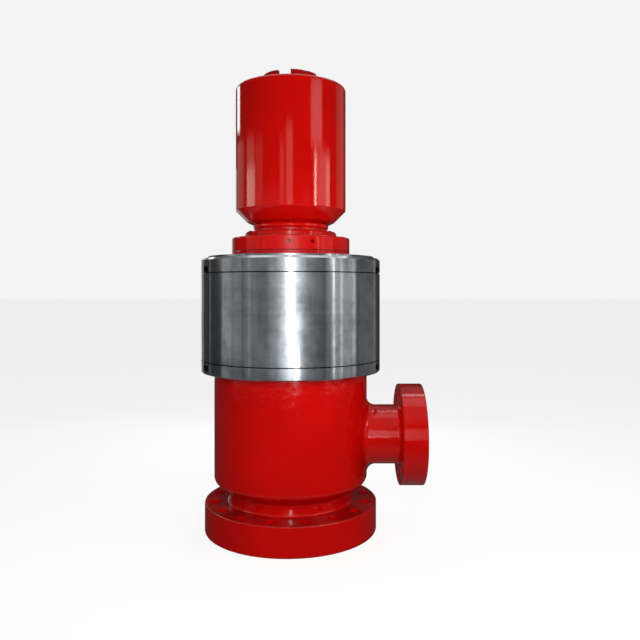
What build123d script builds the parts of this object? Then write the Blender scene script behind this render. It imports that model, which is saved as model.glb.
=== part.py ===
"""Rotating blowout preventer: a flanged cast body with a side outlet, a bearing assembly held
down by a clamp of three segments, and a rotor that turns with the drill pipe, with one stripper
rubber in the pot above the bearings and one in the body below them."""

import os
from math import cos, degrees, hypot, radians, sin, sqrt, tan

from build123d import *

# Bottom connection: a ring joint flange for a 13 5/8 inch bore, 673 mm across
bore_d = 346.0
neck_wall = 68.0
neck_h = 37.3
neck_fillet = 9.0
flange_t = 112.7
flange_edge = 5.0
flange_hole_d = 44.45
flange_hole_count = 16
flange_hole_offset = 54.275
flange_rim = 41.225
groove_land = 11.0
groove_w = 20.0
groove_depth = 14.3
groove_flank = 23.0

# Cast body
body_d = 600.0
body_h = 514.0
shoulder_step = 5.0
shoulder_h = 39.8
shoulder_r = 32.0
chamber_slope = 40.0
hub_lip = 22.0
hub_h = 96.0
hub_slope = 25.0
bowl_depth = 115.0
bowl_ledge = 20.0

# Side outlet: a ring joint flange for a 7 1/16 inch bore, 393.7 mm across
outlet_above_shoulder = 54.2
outlet_bore_d = 179.4
outlet_cast_step = 3.3
outlet_neck_wall = 25.3
outlet_neck_l = 98.0
outlet_fillet = 33.0
outlet_stub_l = 26.9
outlet_flange_t = 92.1
outlet_flange_edge = 3.0
outlet_flange_fillet = 12.0
outlet_hole_d = 38.1
outlet_hole_count = 12
outlet_hole_offset = 43.75
outlet_rim = 38.1
outlet_groove_land = 9.1
outlet_groove_w = 13.5
outlet_groove_depth = 9.5

# Clamp of three segments
clamp_wall = 27.0
clamp_clear = 2.0
clamp_foot_h = 46.0
clamp_head_skin = 10.43
clamp_chamfer = 8.0
clamp_land_w = 26.0
clamp_land_h = 8.0
clamp_mouth_clear = 3.0
clamp_groove_w = 4.0
clamp_groove_depth = 5.0
clamp_low_groove = 46.0
clamp_high_groove = 57.0
clamp_count = 3
# Each segment, and whether its first and its second end hold the screw heads in pockets
clamp_pockets = {
    "clamp_segment_front": (False, False),
    "clamp_segment_right": (True, True),
    "clamp_segment_left": (False, True),
}
clamp_first_seam = -145.0
clamp_seam_gap = 2.0
clamp_seam_chamfer = 2.5
clamp_low_screw = 25.0
clamp_high_screw = 44.0
clamp_screw_hole_d = 14.0
clamp_tapped_depth = 40.0
clamp_pocket_l = 54.0
clamp_pocket_h = 23.0
clamp_pocket_skin = 3.0
clamp_seat_wall = 16.0
clamp_seat_d = 20.0

# Bearing housing, caps and shaft seals, which stand still
spigot_wall = 30.0
spigot_edge = 4.0
housing_h = 244.0
housing_rim_h = 44.0
waist_step = 54.0
barrel_wall = 27.0
barrel_h = 78.0
cap_spigot_h = 22.0
cap_h = 54.0
cap_edge = 5.0
cap_lip_t = 20.0
seal_cap_lap = 15.0
seal_cap_h = 24.0
seal_cap_edge = 6.0
upper_seal_w = 23.0
upper_seal_h = 31.0
lower_lip_t = 20.0
lower_seal_w = 25.0
lower_seal_h = 34.0
port_drop = 23.0
port_d = 13.0
port_spot_d = 24.0
port_spot_depth = 4.0
port_depth = 30.0
port_first = -90.0
port_step = 22.5
plug_length = 18.0
plug_socket_d = 7.2
plug_socket_depth = 6.0

# Bearings
bearing_w = 65.0
race_h = 75.0
race_offset = 38.0
race_taper = 5.0

# Rotor: mandrel, pot and drive crown
mandrel_d = 280.0
mandrel_wall = 44.0
neck_tube_step = 2.0
collar_w = 10.0
collar_t = 18.0
sleeve_wall = 10.0
mandrel_flange_clear = 12.7
mandrel_flange_t = 28.0
slinger_bulge = 6.5
slinger_gap = 10.0
pot_d = 433.4
pot_wall = 24.0
pot_gap = 33.0
pot_h = 533.0
pot_floor_t = 34.0
pot_lip_w = 16.0
pot_lip_flare = 14.1
pot_lip_h = 7.0
pot_chamfer = 45.0
pot_edge = 12.0
pot_corner = 3.0
pot_cover_t = 38.0
pot_rim = 15.0
crown_d = 224.0
crown_wall = 26.0
crown_h = 50.0
crown_foot = 30.0
crown_flange = 12.0
crown_slot_depth = 44.0
crown_slot_w = 50.0
crown_slot_count = 4
crown_slot_first = -101.3
crown_edge = 3.0

# Stripper rubbers and the steel rings that carry them
stripper_ring_clear = 9.7
stripper_ring_t = 30.0
stripper_rim = 8.0
stripper_nose_wall = 28.0
stripper_bore_d = 104.0
stripper_mouth_step = 1.0
stripper_h = 290.0
stripper_skirt = 70.0
stripper_mouth_h = 60.0
stripper_edge = 9.0
carrier_clear = 15.0
carrier_gap = 5.0
carrier_t = 38.0
carrier_edge = 4.0

# Clearances
seat_gap = 0.2
running_gap = 0.3
clear_gap = 6.0

# Radii that follow from the sizes above, from the mandrel outward and from the bore outward
mandrel_r = mandrel_d / 2
mandrel_bore_r = mandrel_r - mandrel_wall
neck_tube_r = mandrel_r + neck_tube_step
sleeve_r = mandrel_r + sleeve_wall
bearing_bore_r = mandrel_r + bearing_w
race_line_r = mandrel_r + race_offset
spigot_r = bearing_bore_r + spigot_wall
barrel_r = bearing_bore_r + barrel_wall
lower_seal_r = sleeve_r + lower_seal_w
seal_bore_r = neck_tube_r + upper_seal_w
seal_cap_r = seal_bore_r + seal_cap_lap
chamber_r = spigot_r - bowl_ledge
body_r = body_d / 2
hub_r = body_r + hub_lip
waist_r = hub_r - waist_step
clamp_inner_r = hub_r + clamp_clear
clamp_r = clamp_inner_r + clamp_wall
clamp_mouth_r = barrel_r + clamp_mouth_clear
bore_r = bore_d / 2
groove_r = bore_r + groove_land + groove_w
neck_r = bore_r + neck_wall
flange_pitch_r = neck_r + flange_hole_offset
flange_r = flange_pitch_r + flange_rim
outlet_bore_r = outlet_bore_d / 2
outlet_neck_r = outlet_bore_r + outlet_neck_wall
outlet_pitch_r = outlet_neck_r + outlet_hole_offset
outlet_flange_r = outlet_pitch_r + outlet_rim
pot_r = pot_d / 2
pot_inner_r = pot_r - pot_wall
pot_lip_r = neck_tube_r + pot_lip_w
pot_low_r = pot_lip_r + pot_lip_flare
crown_r = crown_d / 2
crown_bore_r = crown_r - crown_wall
crown_foot_r = crown_r - crown_flange
stripper_bore_r = stripper_bore_d / 2
stripper_ring_r = pot_inner_r - stripper_ring_clear
stripper_top_r = stripper_ring_r - stripper_rim
stripper_nose_r = stripper_bore_r + stripper_nose_wall
stripper_mouth_r = mandrel_bore_r - stripper_mouth_step
carrier_r = chamber_r - carrier_clear

# Heights that follow, from the foot up
lip_slope = tan(radians(hub_slope))
neck_weld_z = flange_t + neck_h
shoulder_z = neck_weld_z + shoulder_step
shoulder_top_z = shoulder_z + shoulder_h
outlet_z = shoulder_top_z + outlet_above_shoulder + outlet_neck_r
hub_z = neck_weld_z + body_h
body_top_z = hub_z + hub_h
housing_seat_z = body_top_z - bowl_depth
mandrel_end_z = housing_seat_z - carrier_gap - carrier_t
race_seat_z = housing_seat_z + lower_lip_t + lower_seal_h
lower_bearing_top_z = race_seat_z + race_h
housing_flange_top_z = body_top_z + housing_h
barrel_top_z = housing_flange_top_z + barrel_h
upper_bearing_top_z = barrel_top_z - cap_spigot_h
upper_bearing_z = upper_bearing_top_z - race_h
cap_top_z = barrel_top_z + cap_h
seal_seat_z = cap_top_z - upper_seal_h
seal_cap_top_z = cap_top_z + seal_cap_h
port_z = cap_top_z - port_drop
clamp_bottom_z = hub_z - clamp_foot_h
clamp_top_z = housing_flange_top_z + (hub_r - clamp_mouth_r) * lip_slope + clamp_head_skin
slinger_low_z = seal_cap_top_z + slinger_gap
pot_bottom_z = seal_cap_top_z + pot_gap
pot_floor_z = pot_bottom_z + pot_floor_t
pot_top_z = pot_bottom_z + pot_h
pot_cover_z = pot_top_z - pot_cover_t
crown_top_z = pot_top_z + crown_h

# Other sizes that follow
outlet_weld_x = body_r + outlet_neck_l
outlet_back_x = outlet_weld_x + outlet_stub_l
outlet_face_x = outlet_back_x + outlet_flange_t
outlet_axis = Axis((0, 0, outlet_z), (1, 0, 0))
groove_lean = groove_depth * tan(radians(groove_flank))
outlet_groove_lean = outlet_groove_depth * tan(radians(groove_flank))
hub_rise = hub_lip * lip_slope
barrel_rise = (hub_r - barrel_r) * lip_slope
half_hole_step = 180.0 / flange_hole_count
half_outlet_step = 180.0 / outlet_hole_count


def radial_plane(angle):
    """The plane through the main axis at this angle: its x runs outward and its y runs up."""
    a = radians(angle)
    return Plane(origin=(0, 0, 0), x_dir=(cos(a), sin(a), 0), z_dir=(sin(a), -cos(a), 0))


def tangent_plane(radius, angle, z):
    """The plane that touches the cylinder of this radius: its x runs round and its y runs up."""
    a = radians(angle)
    spot = (radius * cos(a), radius * sin(a), z)
    return Plane(origin=spot, x_dir=(-sin(a), cos(a), 0), z_dir=(cos(a), sin(a), 0))


def axis_distance(edge):
    """How far the middle of an edge lies from the main axis."""
    return hypot(edge.center().X, edge.center().Y)


# Bottom flange, forged with its neck and welded to the body
with BuildPart() as bottom_flange:
    with BuildSketch(Plane.XZ):
        with BuildLine():
            Polyline(
                (bore_r, 0),
                (flange_r, 0),
                (flange_r, flange_t),
                (neck_r, flange_t),
                (neck_r, neck_weld_z),
                (bore_r, neck_weld_z),
                close=True,
            )
        make_face()
    revolve(axis=Axis.Z)
    rims = bottom_flange.edges().filter_by(GeomType.CIRCLE)
    fillet(rims.filter_by(lambda e: abs(e.radius - flange_r) < 0.1), flange_edge)
    foot = bottom_flange.edges().filter_by(GeomType.CIRCLE)
    at_neck = foot.filter_by(lambda e: abs(e.radius - neck_r) < 0.1)
    fillet(at_neck.sort_by(Axis.Z)[0], neck_fillet)
    with BuildSketch(Plane.XZ):
        with BuildLine():
            Polyline(
                (groove_r - groove_w, 0),
                (groove_r, 0),
                (groove_r - groove_lean, groove_depth),
                (groove_r - groove_w + groove_lean, groove_depth),
                close=True,
            )
        make_face()
    revolve(axis=Axis.Z, mode=Mode.SUBTRACT)
    with Locations(Plane.XY.offset(flange_t)):
        with PolarLocations(flange_pitch_r, flange_hole_count, start_angle=half_hole_step):
            Hole(flange_hole_d / 2, depth=flange_t)

# Body, cast in one piece with the neck of its side outlet
neck_start_x = chamber_r / 2
root_x = sqrt(body_r**2 - outlet_neck_r**2)
chamber_foot = neck_weld_z + (chamber_r - bore_r) * tan(radians(chamber_slope))
with BuildPart() as body_casting:
    with BuildSketch(Plane.XZ):
        with BuildLine():
            Polyline(
                (bore_r, neck_weld_z),
                (neck_r, neck_weld_z),
                (neck_r, shoulder_z),
                (body_r, shoulder_top_z),
                (body_r, hub_z),
                (hub_r, hub_z + hub_rise),
                (hub_r, body_top_z),
                (spigot_r + seat_gap, body_top_z),
                (spigot_r + seat_gap, body_top_z - bowl_depth),
                (chamber_r, body_top_z - bowl_depth),
                (chamber_r, chamber_foot),
                close=True,
            )
        make_face()
    revolve(axis=Axis.Z)
    shoulder_edges = body_casting.edges().filter_by(GeomType.CIRCLE)
    at_shoulder = shoulder_edges.filter_by(lambda e: abs(e.radius - body_r) < 0.1)
    fillet(at_shoulder.sort_by(Axis.Z)[0], shoulder_r)
    with BuildSketch(Plane.YZ.offset(neck_start_x)):
        with Locations((0, outlet_z)):
            Circle(outlet_neck_r)
    extrude(amount=outlet_weld_x - neck_start_x)
    root = body_casting.edges().filter_by(
        lambda e: e.bounding_box().size.Y > outlet_neck_r
        and e.bounding_box().min.X > root_x - 1
        and e.bounding_box().max.X < body_r + 1
    )
    fillet(root, outlet_fillet)
    with BuildSketch(Plane.XY.offset(chamber_foot)):
        Circle(chamber_r)
    extrude(amount=body_top_z - bowl_depth - chamber_foot, mode=Mode.SUBTRACT)
    with BuildSketch(Plane.YZ):
        with Locations((0, outlet_z)):
            Circle(outlet_bore_r + outlet_cast_step)
    extrude(amount=outlet_weld_x, mode=Mode.SUBTRACT)

# Side flange, welded to the neck of the outlet
with BuildPart() as side_flange:
    with BuildSketch(Plane.XZ):
        with BuildLine():
            Polyline(
                (outlet_weld_x, outlet_z + outlet_bore_r),
                (outlet_face_x, outlet_z + outlet_bore_r),
                (outlet_face_x, outlet_z + outlet_flange_r),
                (outlet_back_x, outlet_z + outlet_flange_r),
                (outlet_back_x, outlet_z + outlet_neck_r),
                (outlet_weld_x, outlet_z + outlet_neck_r),
                close=True,
            )
        make_face()
    revolve(axis=outlet_axis)
    side_rims = side_flange.edges().filter_by(GeomType.CIRCLE)
    fillet(side_rims.filter_by(lambda e: abs(e.radius - outlet_flange_r) < 0.1), outlet_flange_edge)
    side_foot = side_flange.edges().filter_by(GeomType.CIRCLE)
    at_side_neck = side_foot.filter_by(lambda e: abs(e.radius - outlet_neck_r) < 0.1)
    fillet(at_side_neck.sort_by(Axis.X)[-1], outlet_flange_fillet)
    groove_low_z = outlet_z + outlet_bore_r + outlet_groove_land
    groove_high_z = groove_low_z + outlet_groove_w
    with BuildSketch(Plane.XZ):
        with BuildLine():
            Polyline(
                (outlet_face_x, groove_low_z),
                (outlet_face_x, groove_high_z),
                (outlet_face_x - outlet_groove_depth, groove_high_z - outlet_groove_lean),
                (outlet_face_x - outlet_groove_depth, groove_low_z + outlet_groove_lean),
                close=True,
            )
        make_face()
    revolve(axis=outlet_axis, mode=Mode.SUBTRACT)
    with Locations(Plane(origin=(outlet_face_x, 0, outlet_z), x_dir=(0, 1, 0), z_dir=(1, 0, 0))):
        with PolarLocations(outlet_pitch_r, outlet_hole_count, start_angle=half_outlet_step):
            Hole(outlet_hole_d / 2, depth=outlet_flange_t)

# Bearing housing: the spigot sits in the bowl of the body, and the clamp holds its flange down
with BuildPart() as bearing_housing:
    with BuildSketch(Plane.XZ):
        with BuildLine():
            Polyline(
                (sleeve_r + clear_gap, housing_seat_z),
                (spigot_r, housing_seat_z),
                (spigot_r, body_top_z),
                (hub_r, body_top_z),
                (hub_r, body_top_z + housing_rim_h),
                (waist_r, body_top_z + housing_rim_h + (hub_r - waist_r)),
                (waist_r, housing_flange_top_z - housing_rim_h - (hub_r - waist_r)),
                (hub_r, housing_flange_top_z - housing_rim_h),
                (hub_r, housing_flange_top_z),
                (barrel_r, housing_flange_top_z + barrel_rise),
                (barrel_r, barrel_top_z),
                (bearing_bore_r, barrel_top_z),
                (bearing_bore_r, race_seat_z),
                (lower_seal_r, race_seat_z),
                (lower_seal_r, housing_seat_z + lower_lip_t),
                (sleeve_r + clear_gap, housing_seat_z + lower_lip_t),
                close=True,
            )
        make_face()
    revolve(axis=Axis.Z)
    spigot_foot = bearing_housing.edges().filter_by(GeomType.CIRCLE)
    at_spigot = spigot_foot.filter_by(lambda e: abs(e.radius - spigot_r) < 0.1)
    chamfer(at_spigot.sort_by(Axis.Z)[0], spigot_edge)

# Lower shaft seal, a rubber ring on the lip of the bearing housing
with BuildPart() as lower_shaft_seal:
    with BuildSketch(Plane.XY.offset(housing_seat_z + lower_lip_t)):
        Circle(lower_seal_r - seat_gap)
        Circle(sleeve_r + running_gap, mode=Mode.SUBTRACT)
    extrude(amount=lower_seal_h)


def race_profile(top_z, wide_at_top, outer):
    """Corners of half a tapered bearing between top_z and the race height below it."""
    lean = race_taper if wide_at_top else -race_taper
    low_z = top_z - race_h
    if outer:
        offset = running_gap
        wall = bearing_bore_r - seat_gap
    else:
        offset = 0.0
        wall = mandrel_r + seat_gap
    return [
        (race_line_r - lean + offset, low_z),
        (race_line_r + lean + offset, top_z),
        (wall, top_z),
        (wall, low_z),
    ]


# Lower bearing, its outer ring in the housing and its inner ring on the mandrel
with BuildPart() as lower_outer_race:
    with BuildSketch(Plane.XZ):
        with BuildLine():
            Polyline(*race_profile(lower_bearing_top_z, False, True), close=True)
        make_face()
    revolve(axis=Axis.Z)

with BuildPart() as lower_inner_race:
    with BuildSketch(Plane.XZ):
        with BuildLine():
            Polyline(*race_profile(lower_bearing_top_z, False, False), close=True)
        make_face()
    revolve(axis=Axis.Z)

# Upper bearing, turned the other way up
with BuildPart() as upper_outer_race:
    with BuildSketch(Plane.XZ):
        with BuildLine():
            Polyline(*race_profile(upper_bearing_top_z, True, True), close=True)
        make_face()
    revolve(axis=Axis.Z)

with BuildPart() as upper_inner_race:
    with BuildSketch(Plane.XZ):
        with BuildLine():
            Polyline(*race_profile(upper_bearing_top_z, True, False), close=True)
        make_face()
    revolve(axis=Axis.Z)

# Spacers between the two bearings, one on the housing side and one on the mandrel
with BuildPart() as outer_race_spacer:
    with BuildSketch(Plane.XY.offset(lower_bearing_top_z)):
        Circle(bearing_bore_r - seat_gap)
        Circle(race_line_r + race_taper + clear_gap, mode=Mode.SUBTRACT)
    extrude(amount=upper_bearing_z - lower_bearing_top_z)

with BuildPart() as inner_race_spacer:
    with BuildSketch(Plane.XY.offset(lower_bearing_top_z)):
        Circle(race_line_r - race_taper - clear_gap)
        Circle(mandrel_r + seat_gap, mode=Mode.SUBTRACT)
    extrude(amount=upper_bearing_z - lower_bearing_top_z)

# Bearing cap, which closes the housing and holds the outer rings down, with two grease ports
with BuildPart() as bearing_cap:
    with BuildSketch(Plane.XZ):
        with BuildLine():
            Polyline(
                (race_line_r + race_taper + clear_gap, upper_bearing_top_z),
                (bearing_bore_r - seat_gap, upper_bearing_top_z),
                (bearing_bore_r - seat_gap, barrel_top_z),
                (barrel_r, barrel_top_z),
                (barrel_r, cap_top_z),
                (seal_bore_r, cap_top_z),
                (seal_bore_r, seal_seat_z),
                (neck_tube_r + clear_gap, seal_seat_z),
                (neck_tube_r + clear_gap, seal_seat_z - cap_lip_t),
                (race_line_r + race_taper + clear_gap, seal_seat_z - cap_lip_t),
                close=True,
            )
        make_face()
    revolve(axis=Axis.Z)
    cap_rims = bearing_cap.edges().filter_by(GeomType.CIRCLE)
    at_cap_rim = cap_rims.filter_by(lambda e: abs(e.radius - barrel_r) < 0.1)
    fillet(at_cap_rim.sort_by(Axis.Z)[-1], cap_edge)
    for turn in (0, 1):
        port_plane = tangent_plane(barrel_r, port_first + turn * port_step, port_z)
        with BuildSketch(port_plane):
            Circle(port_spot_d / 2)
        extrude(amount=-port_spot_depth, mode=Mode.SUBTRACT)
        with BuildSketch(port_plane):
            Circle(port_d / 2)
        extrude(amount=-port_depth, mode=Mode.SUBTRACT)

# Plug in the first grease port: a threaded body with a hexagon socket, flush in its spot face
plug_plane = tangent_plane(barrel_r - port_spot_depth, port_first, port_z)
with BuildPart() as grease_plug:
    with BuildSketch(plug_plane):
        Circle(port_d / 2 - seat_gap)
    extrude(amount=-plug_length)
    with BuildSketch(plug_plane):
        RegularPolygon(plug_socket_d / 2, 6)
    extrude(amount=-plug_socket_depth, mode=Mode.SUBTRACT)

# Upper shaft seal, on the lip of the bearing cap and under the seal cap
with BuildPart() as upper_shaft_seal:
    with BuildSketch(Plane.XY.offset(seal_seat_z)):
        Circle(seal_bore_r - seat_gap)
        Circle(neck_tube_r + running_gap, mode=Mode.SUBTRACT)
    extrude(amount=cap_top_z - seal_seat_z)

# Seal cap, the small step on top of the bearing cap
with BuildPart() as seal_cap:
    with BuildSketch(Plane.XY.offset(cap_top_z)):
        Circle(seal_cap_r)
        Circle(neck_tube_r + clear_gap, mode=Mode.SUBTRACT)
    extrude(amount=seal_cap_top_z - cap_top_z)
    step_rims = seal_cap.edges().filter_by(GeomType.CIRCLE)
    at_step = step_rims.filter_by(lambda e: abs(e.radius - seal_cap_r) < 0.1)
    chamfer(at_step.sort_by(Axis.Z)[-1], seal_cap_edge)

# Clamp: three segments that wedge the two flanges together. Two screws cross each seam, with
# their heads in pockets of one segment and their threads in the other
low_lip_z = hub_z - seat_gap
high_lip_z = housing_flange_top_z + seat_gap
segment_arc = 360.0 / clamp_count
half_gap_angle = degrees(clamp_seam_gap / 2 / clamp_r)
clamp_screw_r = clamp_r - clamp_wall / 2
pocket_floor_depth = clamp_wall - clamp_pocket_skin
pocket_middle = clamp_seat_wall + clamp_pocket_l / 2
pocket_angle = degrees(pocket_middle / clamp_r)
clamp_segments = {}
for turn, segment_name in enumerate(clamp_pockets):
    seam = clamp_first_seam + segment_arc * turn
    with BuildPart() as segment:
        with BuildSketch(radial_plane(seam + half_gap_angle)):
            with BuildLine():
                Polyline(
                    (body_r + seat_gap, clamp_bottom_z),
                    (clamp_r - clamp_chamfer / 2, clamp_bottom_z),
                    (clamp_r, clamp_bottom_z + clamp_chamfer / 2),
                    (clamp_r, clamp_top_z - clamp_chamfer),
                    (clamp_r - clamp_chamfer, clamp_top_z),
                    (clamp_r - clamp_land_w, clamp_top_z),
                    (clamp_r - clamp_land_w, clamp_top_z + clamp_land_h),
                    (clamp_mouth_r, clamp_top_z + clamp_land_h),
                    (clamp_mouth_r, high_lip_z + (hub_r - clamp_mouth_r) * lip_slope),
                    (clamp_inner_r, high_lip_z - (clamp_inner_r - hub_r) * lip_slope),
                    (clamp_inner_r, low_lip_z + (clamp_inner_r - body_r) * lip_slope),
                    (body_r + seat_gap, low_lip_z + seat_gap * lip_slope),
                    close=True,
                )
            make_face()
        revolve(axis=Axis.Z, revolution_arc=segment_arc - 2 * half_gap_angle)
        upright = segment.edges().filter_by(Axis.Z)
        chamfer(upright.filter_by(lambda e: abs(axis_distance(e) - clamp_r) < 0.1), clamp_seam_chamfer)
        for groove_z in (clamp_bottom_z + clamp_low_groove, clamp_top_z - clamp_high_groove):
            with BuildSketch(radial_plane(seam)):
                with Locations((clamp_r, groove_z)):
                    Rectangle(2 * clamp_groove_depth, clamp_groove_w)
            revolve(axis=Axis.Z, revolution_arc=segment_arc, mode=Mode.SUBTRACT)
        for end_seam, inward, has_pocket in (
            (seam, 1, clamp_pockets[segment_name][0]),
            (seam + segment_arc, -1, clamp_pockets[segment_name][1]),
        ):
            hole_depth = pocket_middle if has_pocket else clamp_tapped_depth
            for screw_z in (clamp_bottom_z + clamp_low_screw, clamp_top_z - clamp_high_screw):
                with BuildSketch(radial_plane(end_seam)):
                    with Locations((clamp_screw_r, screw_z)):
                        Circle(clamp_screw_hole_d / 2)
                extrude(amount=-inward * hole_depth, mode=Mode.SUBTRACT)
                if has_pocket:
                    with BuildSketch(radial_plane(end_seam).offset(-inward * clamp_seat_wall)):
                        with Locations((clamp_screw_r, screw_z)):
                            Circle(clamp_seat_d / 2)
                    extrude(amount=-inward * clamp_pocket_h / 2, mode=Mode.SUBTRACT)
                    mouth = clamp_r + clamp_groove_depth
                    with BuildSketch(tangent_plane(mouth, end_seam + inward * pocket_angle, screw_z)):
                        SlotOverall(clamp_pocket_l, clamp_pocket_h)
                    extrude(amount=-(pocket_floor_depth + clamp_groove_depth), mode=Mode.SUBTRACT)
    clamp_segments[segment_name] = segment

# Mandrel, the hollow shaft that carries both stripper rubbers through the bearings
with BuildPart() as mandrel:
    with BuildSketch(Plane.XZ):
        with BuildLine():
            Polyline(
                (mandrel_bore_r, mandrel_end_z),
                (mandrel_r, mandrel_end_z),
                (mandrel_r, upper_bearing_top_z),
                (mandrel_r + collar_w, upper_bearing_top_z),
                (mandrel_r + collar_w, upper_bearing_top_z + collar_t),
                (neck_tube_r, upper_bearing_top_z + collar_t),
                (neck_tube_r, pot_floor_z),
                (pot_inner_r - mandrel_flange_clear, pot_floor_z),
                (pot_inner_r - mandrel_flange_clear, pot_floor_z + mandrel_flange_t),
                (mandrel_bore_r, pot_floor_z + mandrel_flange_t),
                close=True,
            )
        make_face()
    revolve(axis=Axis.Z)

# Wear sleeve that the lower seal runs on, between the lower bearing and the stripper carrier
carrier_top_z = mandrel_end_z + carrier_t
with BuildPart() as wear_sleeve:
    with BuildSketch(Plane.XY.offset(carrier_top_z)):
        Circle(sleeve_r)
        Circle(mandrel_r + seat_gap, mode=Mode.SUBTRACT)
    extrude(amount=race_seat_z - carrier_top_z)

# Slinger, a round bead under the pot that throws mud off before it reaches the seal
with BuildPart() as slinger:
    with BuildSketch(Plane.XZ):
        with BuildLine():
            bead_low = (neck_tube_r + seat_gap, slinger_low_z)
            bead_high = (neck_tube_r + seat_gap, pot_bottom_z)
            bead_mid = (neck_tube_r + slinger_bulge, (slinger_low_z + pot_bottom_z) / 2)
            ThreePointArc(bead_low, bead_mid, bead_high)
            Line(bead_high, bead_low)
        make_face()
    revolve(axis=Axis.Z)

# Pot, the turned shell that holds the upper stripper rubber
pot_low_z = pot_bottom_z + pot_lip_h
with BuildPart() as pot:
    with BuildSketch(Plane.XZ):
        with BuildLine():
            Polyline(
                (neck_tube_r + seat_gap, pot_bottom_z),
                (pot_lip_r, pot_bottom_z),
                (pot_low_r, pot_low_z),
                (pot_r, pot_low_z + (pot_r - pot_low_r) * tan(radians(pot_chamfer))),
                (pot_r, pot_top_z),
                (pot_r - pot_rim, pot_top_z),
                (pot_r - pot_rim, pot_cover_z),
                (pot_inner_r, pot_cover_z),
                (pot_inner_r, pot_floor_z + pot_wall),
                (pot_inner_r - pot_wall / 2, pot_floor_z),
                (neck_tube_r + seat_gap, pot_floor_z),
                close=True,
            )
        make_face()
    revolve(axis=Axis.Z)
    pot_rims = pot.edges().filter_by(GeomType.CIRCLE)
    at_pot_rim = pot_rims.filter_by(lambda e: abs(e.radius - pot_r) < 0.1)
    fillet(at_pot_rim.sort_by(Axis.Z)[0], pot_corner)
    pot_rims = pot.edges().filter_by(GeomType.CIRCLE)
    at_pot_rim = pot_rims.filter_by(lambda e: abs(e.radius - pot_r) < 0.1)
    fillet(at_pot_rim.sort_by(Axis.Z)[-1], pot_edge)

# Cover of the pot, let into its rim
with BuildPart() as pot_cover:
    with BuildSketch(Plane.XY.offset(pot_cover_z)):
        Circle(pot_r - pot_rim - seat_gap)
        Circle(crown_foot_r + seat_gap, mode=Mode.SUBTRACT)
    extrude(amount=pot_cover_t)

# Drive crown: the kelly bushing drops between its four lugs and turns the rotor
with BuildPart() as drive_crown:
    with BuildSketch(Plane.XZ):
        with BuildLine():
            Polyline(
                (crown_bore_r, pot_top_z - crown_foot),
                (crown_foot_r, pot_top_z - crown_foot),
                (crown_foot_r, pot_top_z),
                (crown_r, pot_top_z),
                (crown_r, crown_top_z),
                (crown_bore_r, crown_top_z),
                close=True,
            )
        make_face()
    revolve(axis=Axis.Z)
    crown_rims = drive_crown.edges().filter_by(GeomType.CIRCLE).group_by(Axis.Z)[-1]
    chamfer(crown_rims, crown_edge)
    with BuildSketch(Plane.XY.offset(crown_top_z)):
        with PolarLocations(0, crown_slot_count, start_angle=crown_slot_first):
            Rectangle(crown_r, crown_slot_w, align=(Align.MIN, Align.CENTER))
    extrude(amount=-crown_slot_depth, mode=Mode.SUBTRACT)
    lug_corners = drive_crown.edges().filter_by(Axis.Z)
    fillet(lug_corners.filter_by(lambda e: abs(axis_distance(e) - crown_r) < 0.1), crown_edge)


def stripper_profile(top_z):
    """Corners of half a stripper rubber that hangs from top_z: a short skirt, then a cone."""
    nose_z = top_z - stripper_h
    return [
        (stripper_mouth_r, top_z),
        (stripper_top_r, top_z),
        (stripper_top_r, top_z - stripper_skirt),
        (stripper_nose_r, nose_z),
        (stripper_bore_r, nose_z),
        (stripper_bore_r, top_z - stripper_mouth_h * 2),
        (stripper_mouth_r, top_z - stripper_mouth_h),
    ]


# Upper stripper: a steel ring under the cover of the pot, and the rubber bonded to it
upper_ring_z = pot_cover_z - stripper_ring_t
with BuildPart() as upper_stripper_ring:
    with BuildSketch(Plane.XY.offset(upper_ring_z)):
        Circle(stripper_ring_r)
        Circle(mandrel_bore_r, mode=Mode.SUBTRACT)
    extrude(amount=stripper_ring_t)

with BuildPart() as upper_stripper_rubber:
    with BuildSketch(Plane.XZ):
        with BuildLine():
            Polyline(*stripper_profile(upper_ring_z), close=True)
        make_face()
    revolve(axis=Axis.Z)
    upper_hoops = upper_stripper_rubber.edges().filter_by(GeomType.CIRCLE)
    fillet(upper_hoops.filter_by(lambda e: abs(e.radius - stripper_nose_r) < 0.1), stripper_edge)

# Lower stripper: a carrier screwed on the mandrel, a steel ring and the rubber below it
with BuildPart() as stripper_carrier:
    with BuildSketch(Plane.XY.offset(mandrel_end_z)):
        Circle(carrier_r)
        Circle(mandrel_r + seat_gap, mode=Mode.SUBTRACT)
    extrude(amount=carrier_t)
    carrier_rims = stripper_carrier.edges().filter_by(GeomType.CIRCLE)
    chamfer(carrier_rims.filter_by(lambda e: abs(e.radius - carrier_r) < 0.1), carrier_edge)

lower_ring_z = mandrel_end_z - stripper_ring_t
with BuildPart() as lower_stripper_ring:
    with BuildSketch(Plane.XY.offset(lower_ring_z)):
        Circle(stripper_ring_r)
        Circle(mandrel_bore_r, mode=Mode.SUBTRACT)
    extrude(amount=stripper_ring_t)

with BuildPart() as lower_stripper_rubber:
    with BuildSketch(Plane.XZ):
        with BuildLine():
            Polyline(*stripper_profile(lower_ring_z), close=True)
        make_face()
    revolve(axis=Axis.Z)
    lower_hoops = lower_stripper_rubber.edges().filter_by(GeomType.CIRCLE)
    fillet(lower_hoops.filter_by(lambda e: abs(e.radius - stripper_nose_r) < 0.1), stripper_edge)

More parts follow.
